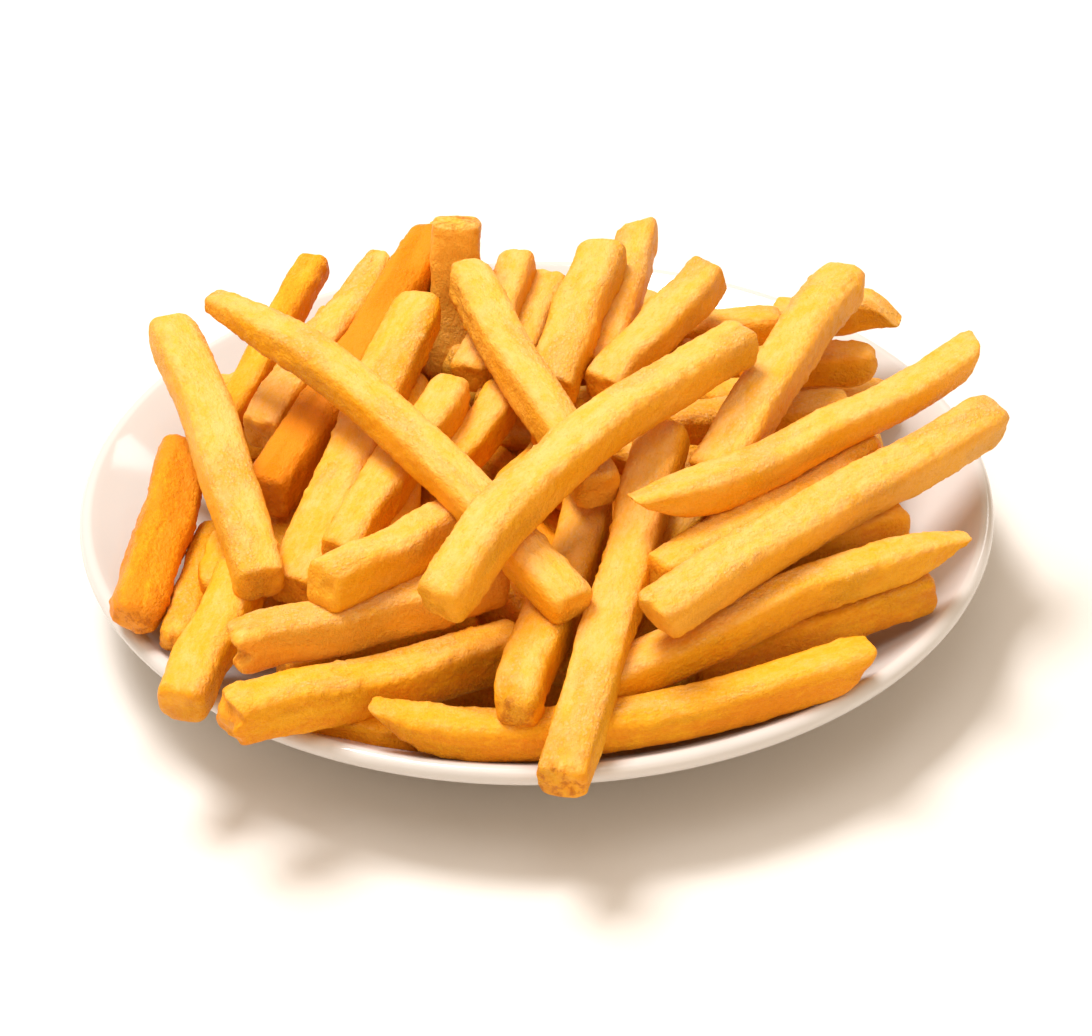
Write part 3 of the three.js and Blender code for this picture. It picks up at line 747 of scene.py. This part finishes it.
def fry_material():
    n = Nodes("fried_potato")
    grain = n.attribute("grain", "Vector")
    tone = n.attribute("tone")
    brown = n.attribute("brown")
    corner = n.attribute("corner")
    cutface = n.attribute("cutface")
    upward = n.attribute("upward")
    lengthways = n.scaled(grain, (0.3, 1.0, 1.0))

    # Pale and well-cooked patches, lengthways streaks and a mealy grain. Faces that face up are painted paler
    # and side faces deeper orange: painted light and shade.
    patches = n.noise(lengthways, 0.2, 3.0, 0.55)
    streaks = n.noise(n.scaled(grain, (0.1, 1.0, 1.0)), 0.8, 3.0, 0.6)
    mealy = n.noise(n.scaled(grain, (0.7, 1.0, 1.0)), 1.2, 4.0, 0.8)
    fried_and_painted_shade = n.math("ADD", n.math("MULTIPLY", patches, 1.1), n.math("MULTIPLY", streaks, 0.3))
    fried_and_painted_shade = n.math("ADD", fried_and_painted_shade, n.math("MULTIPLY", mealy, 1.0))
    fried_and_painted_shade = n.math("ADD", fried_and_painted_shade, n.math("MULTIPLY", n.math("SUBTRACT", tone, 0.94), 0.9))
    # Painted light and shade: faces that face up are made paler, faces that face sideways deeper.
    fried_and_painted_shade = n.math("ADD", fried_and_painted_shade, n.between(upward, -0.1, 0.85, 0.22, -0.22))
    base = n.mix(n.between(fried_and_painted_shade, 0.35, 0.95), PALE, GOLD)
    base = n.mix(n.between(fried_and_painted_shade, 0.85, 1.4), base, DEEP)

    # Blistered zones sparkle: where their raised grains face up they are painted pale cream as glints
    # (painted highlights), and the hollows between them deeper.
    zone = n.between(n.noise(lengthways, 0.11, 2.0, 0.5), 0.46, 0.62)
    grains = n.cells(n.scaled(grain, (0.7, 1.0, 1.0)), 1.1, 0.4)
    raised = n.math("MULTIPLY", n.between(grains, 0.45, 0.15), n.between(upward, 0.0, 0.8))
    painted_glints = n.math("MULTIPLY", raised, n.between(zone, 0.0, 1.0, 0.2, 0.75))
    base = n.mix(n.math("MULTIPLY", painted_glints, n.between(fried_and_painted_shade, 1.1, 0.4)), base, PAINTED_LIGHT_CREAM)
    # Pale flecks on the faces that face up: painted light on the tops.
    flecks = n.between(n.noise(n.scaled(grain, (0.55, 1.0, 1.0)), 0.3, 5.0, 0.78), 0.34, 0.66)
    painted_top_light = n.math("MULTIPLY", n.between(fried_and_painted_shade, 1.1, 0.35, 0.0, 0.6), n.between(upward, 0.25, 0.9, 0.1, 1.0))
    base = n.mix(n.math("MULTIPLY", flecks, painted_top_light), base, PAINTED_LIGHT_CREAM)

    edge = n.math("MULTIPLY", corner, n.between(n.noise(grain, 0.3, 2.0, 0.6), 0.35, 0.65))
    base = n.mix(n.math("MULTIPLY", edge, 0.45), base, DEEP)
    base = n.mix(n.math("MULTIPLY", cutface, 0.25), base, FLESH)
    toasted = n.math("MULTIPLY", brown, n.between(n.noise(grain, 0.4, 3.0, 0.65), 0.3, 0.7))
    base = n.mix(n.math("MULTIPLY", toasted, 0.85, clamp=True), base, DEEP)
    base = n.mix(n.math("MULTIPLY", n.between(toasted, 0.4, 0.95), 0.65), base, BROWN)
    specks = n.between(n.noise(grain, 1.9, 1.0, 0.5), 0.62, 0.78)
    base = n.mix(n.math("MULTIPLY", specks, 0.5), base, DEEP)

    fine = n.noise(grain, 2.1, 3.0, 0.7)
    height = n.math("SUBTRACT", n.math("MULTIPLY", fine, 0.8), n.math("MULTIPLY", grains, 0.4))
    height = n.math("MULTIPLY", height, n.between(zone, 0.0, 1.0, 0.5, 0.95))
    height = n.math("ADD", height, n.math("MULTIPLY", n.noise(lengthways, 0.6, 2.0, 0.55), 0.3))
    normal = n.bump(height, 1.0, 0.0009)

    shader = n.shader.inputs
    n.put(shader["Base Color"], base)
    dull = n.between(fine, 0.3, 0.7, 0.38, 0.55)
    n.put(shader["Roughness"], n.math("SUBTRACT", dull, n.math("MULTIPLY", zone, 0.1)))
    n.put(shader["Normal"], normal)
    shader["Specular IOR Level"].default_value = 0.2
    return n.material


def plate_material():
    n = Nodes("glazed_porcelain")
    place = n.add("ShaderNodeTexCoord").outputs["Object"]
    cloud = n.noise(place, 14.0, 3.0, 0.5)
    specks = n.between(n.noise(place, 900.0, 1.0, 0.5), 0.74, 0.8)
    glaze = n.mix(n.between(cloud, 0.3, 0.7), *GLAZE)
    glaze = n.mix(n.math("MULTIPLY", specks, 0.12), glaze, GLAZE_SPECK)
    height = n.add("ShaderNodeSeparateXYZ")
    n.put(height.inputs[0], place)
    bare = n.between(height.outputs["Z"], BARE_HEIGHT, BARE_HEIGHT * 1.6, 1.0, 0.0)
    clay = n.mix(n.between(n.noise(place, 700.0, 3.0, 0.6), 0.3, 0.7), *BARE_CLAY)
    n.put(n.shader.inputs["Base Color"], n.mix(bare, glaze, clay))
    smooth = n.between(n.noise(place, 45.0, 2.0, 0.5), 0.3, 0.7, 0.07, 0.13)
    n.put(n.shader.inputs["Roughness"], n.math("ADD", smooth, n.math("MULTIPLY", bare, 0.6), clamp=True))
    n.put(n.shader.inputs["Normal"], n.bump(n.noise(place, 30.0, 2.0, 0.5), 0.12, 0.0012))
    return n.material


def floor_material():
    n = Nodes("studio_floor")
    place = n.add("ShaderNodeTexCoord").outputs["Object"]
    tint = n.noise(place, 6.0, 2.0, 0.5)
    n.put(n.shader.inputs["Base Color"], n.mix(tint, *FLOOR_TINTS))
    n.shader.inputs["Roughness"].default_value = 0.9
    n.shader.inputs["Specular IOR Level"].default_value = 0.1
    return n.material


# ---- Stage ----

FLOOR_REACH = 6.0  # metres from the middle
LIGHT_AIM = (0.0, 0.0, 0.04)
# Each lamp's name, place, width and height in metres, power in watts and tint.
LIGHTS = (
    ("key", (-0.45, 0.3, 1.5), 0.6, 0.6, 27.0, (1.0, 0.99, 0.98)),
    ("top", (-0.2, -0.5, 1.6), 1.2, 1.0, 8.0, (1.0, 0.98, 0.95)),
    ("window", (0.95, 1.35, 0.9), 0.25, 0.4, 1.4, (1.0, 1.0, 1.0)),
    ("front_fill", (0.4, -1.5, 0.7), 1.4, 0.8, 4.0, (1.0, 0.76, 0.52)),
)
SKY_TINT = (1.0, 0.78, 0.55, 1.0)
SKY_STRENGTH = 0.57


def make_floor():
    side = FLOOR_REACH
    corners = np.array([[-side, -side, 0], [side, -side, 0], [side, side, 0], [-side, side, 0]]) / MM
    floor = mesh_object("floor", corners, np.array([[0, 1, 2], [0, 2, 3]]), {}, floor_material())


def make_lights():
    for name, place, width, height, power, tint in LIGHTS:
        light = bpy.data.lights.new(name, "AREA")
        light.shape = "RECTANGLE"
        light.size, light.size_y = width, height
        light.energy = power
        light.color = tint
        lamp = bpy.data.objects.new(name, light)
        lamp.location = place
        lamp.rotation_euler = (Vector(LIGHT_AIM) - Vector(place)).to_track_quat("-Z", "Y").to_euler()
        bpy.context.scene.collection.objects.link(lamp)
    world = bpy.data.worlds.new("studio")
    world.use_nodes = True
    background = world.node_tree.nodes["Background"]
    background.inputs["Color"].default_value = SKY_TINT
    background.inputs["Strength"].default_value = SKY_STRENGTH
    bpy.context.scene.world = world


def camera_axes():
    """The camera's right, up and forward directions."""
    forward = Vector((0, math.cos(ELEVATION), -math.sin(ELEVATION)))
    level = Vector((1, 0, 0))
    upright = level.cross(forward)
    right = level * math.cos(ROLL) - upright * math.sin(ROLL)
    up = level * math.sin(ROLL) + upright * math.cos(ROLL)
    return right, up, forward


def make_camera():
    right, up, forward = camera_axes()
    data = bpy.data.cameras.new("camera")
    data.sensor_width = SENSOR_WIDTH
    data.lens = FOCAL_PIXELS * SENSOR_WIDTH / FRAME_WIDTH
    camera = bpy.data.objects.new("camera", data)
    place = (Vector(TARGET) - forward * DISTANCE) * MM
    facing = Matrix((right, up, -forward)).transposed()
    camera.matrix_world = Matrix.Translation(place) @ facing.to_4x4()
    bpy.context.scene.collection.objects.link(camera)
    bpy.context.scene.camera = camera
    return np.array(place) / MM


def main():
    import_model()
    eye = make_camera()
    make_floor()
    make_lights()
    bpy.context.scene.view_settings.view_transform = "Standard"

    potato = fry_material()
    make_plate(plate_material())
    make_core(potato)
    slope = [slope_fry(number) for number in range(SLOPE_COUNT)] + [OVERHANG] + LOW_FRIES
    laid = TOP_FRIES + RIGHT_FRIES + LEFT_FRIES + BACK_FRIES
    make_fries("top_fries", TOP_FRIES, 1, FINE, potato)
    make_fries("right_fries", RIGHT_FRIES, 2, FINE, potato)
    make_fries("left_fries", LEFT_FRIES, 3, FINE, potato)
    make_fries("back_fries", BACK_FRIES, 4, FINE, potato)
    make_fries("slope_fries", slope, 5, FINE, potato)
    make_fries("under_fries", fill_fries(laid + slope, eye), 6, PLAIN, potato)


main()
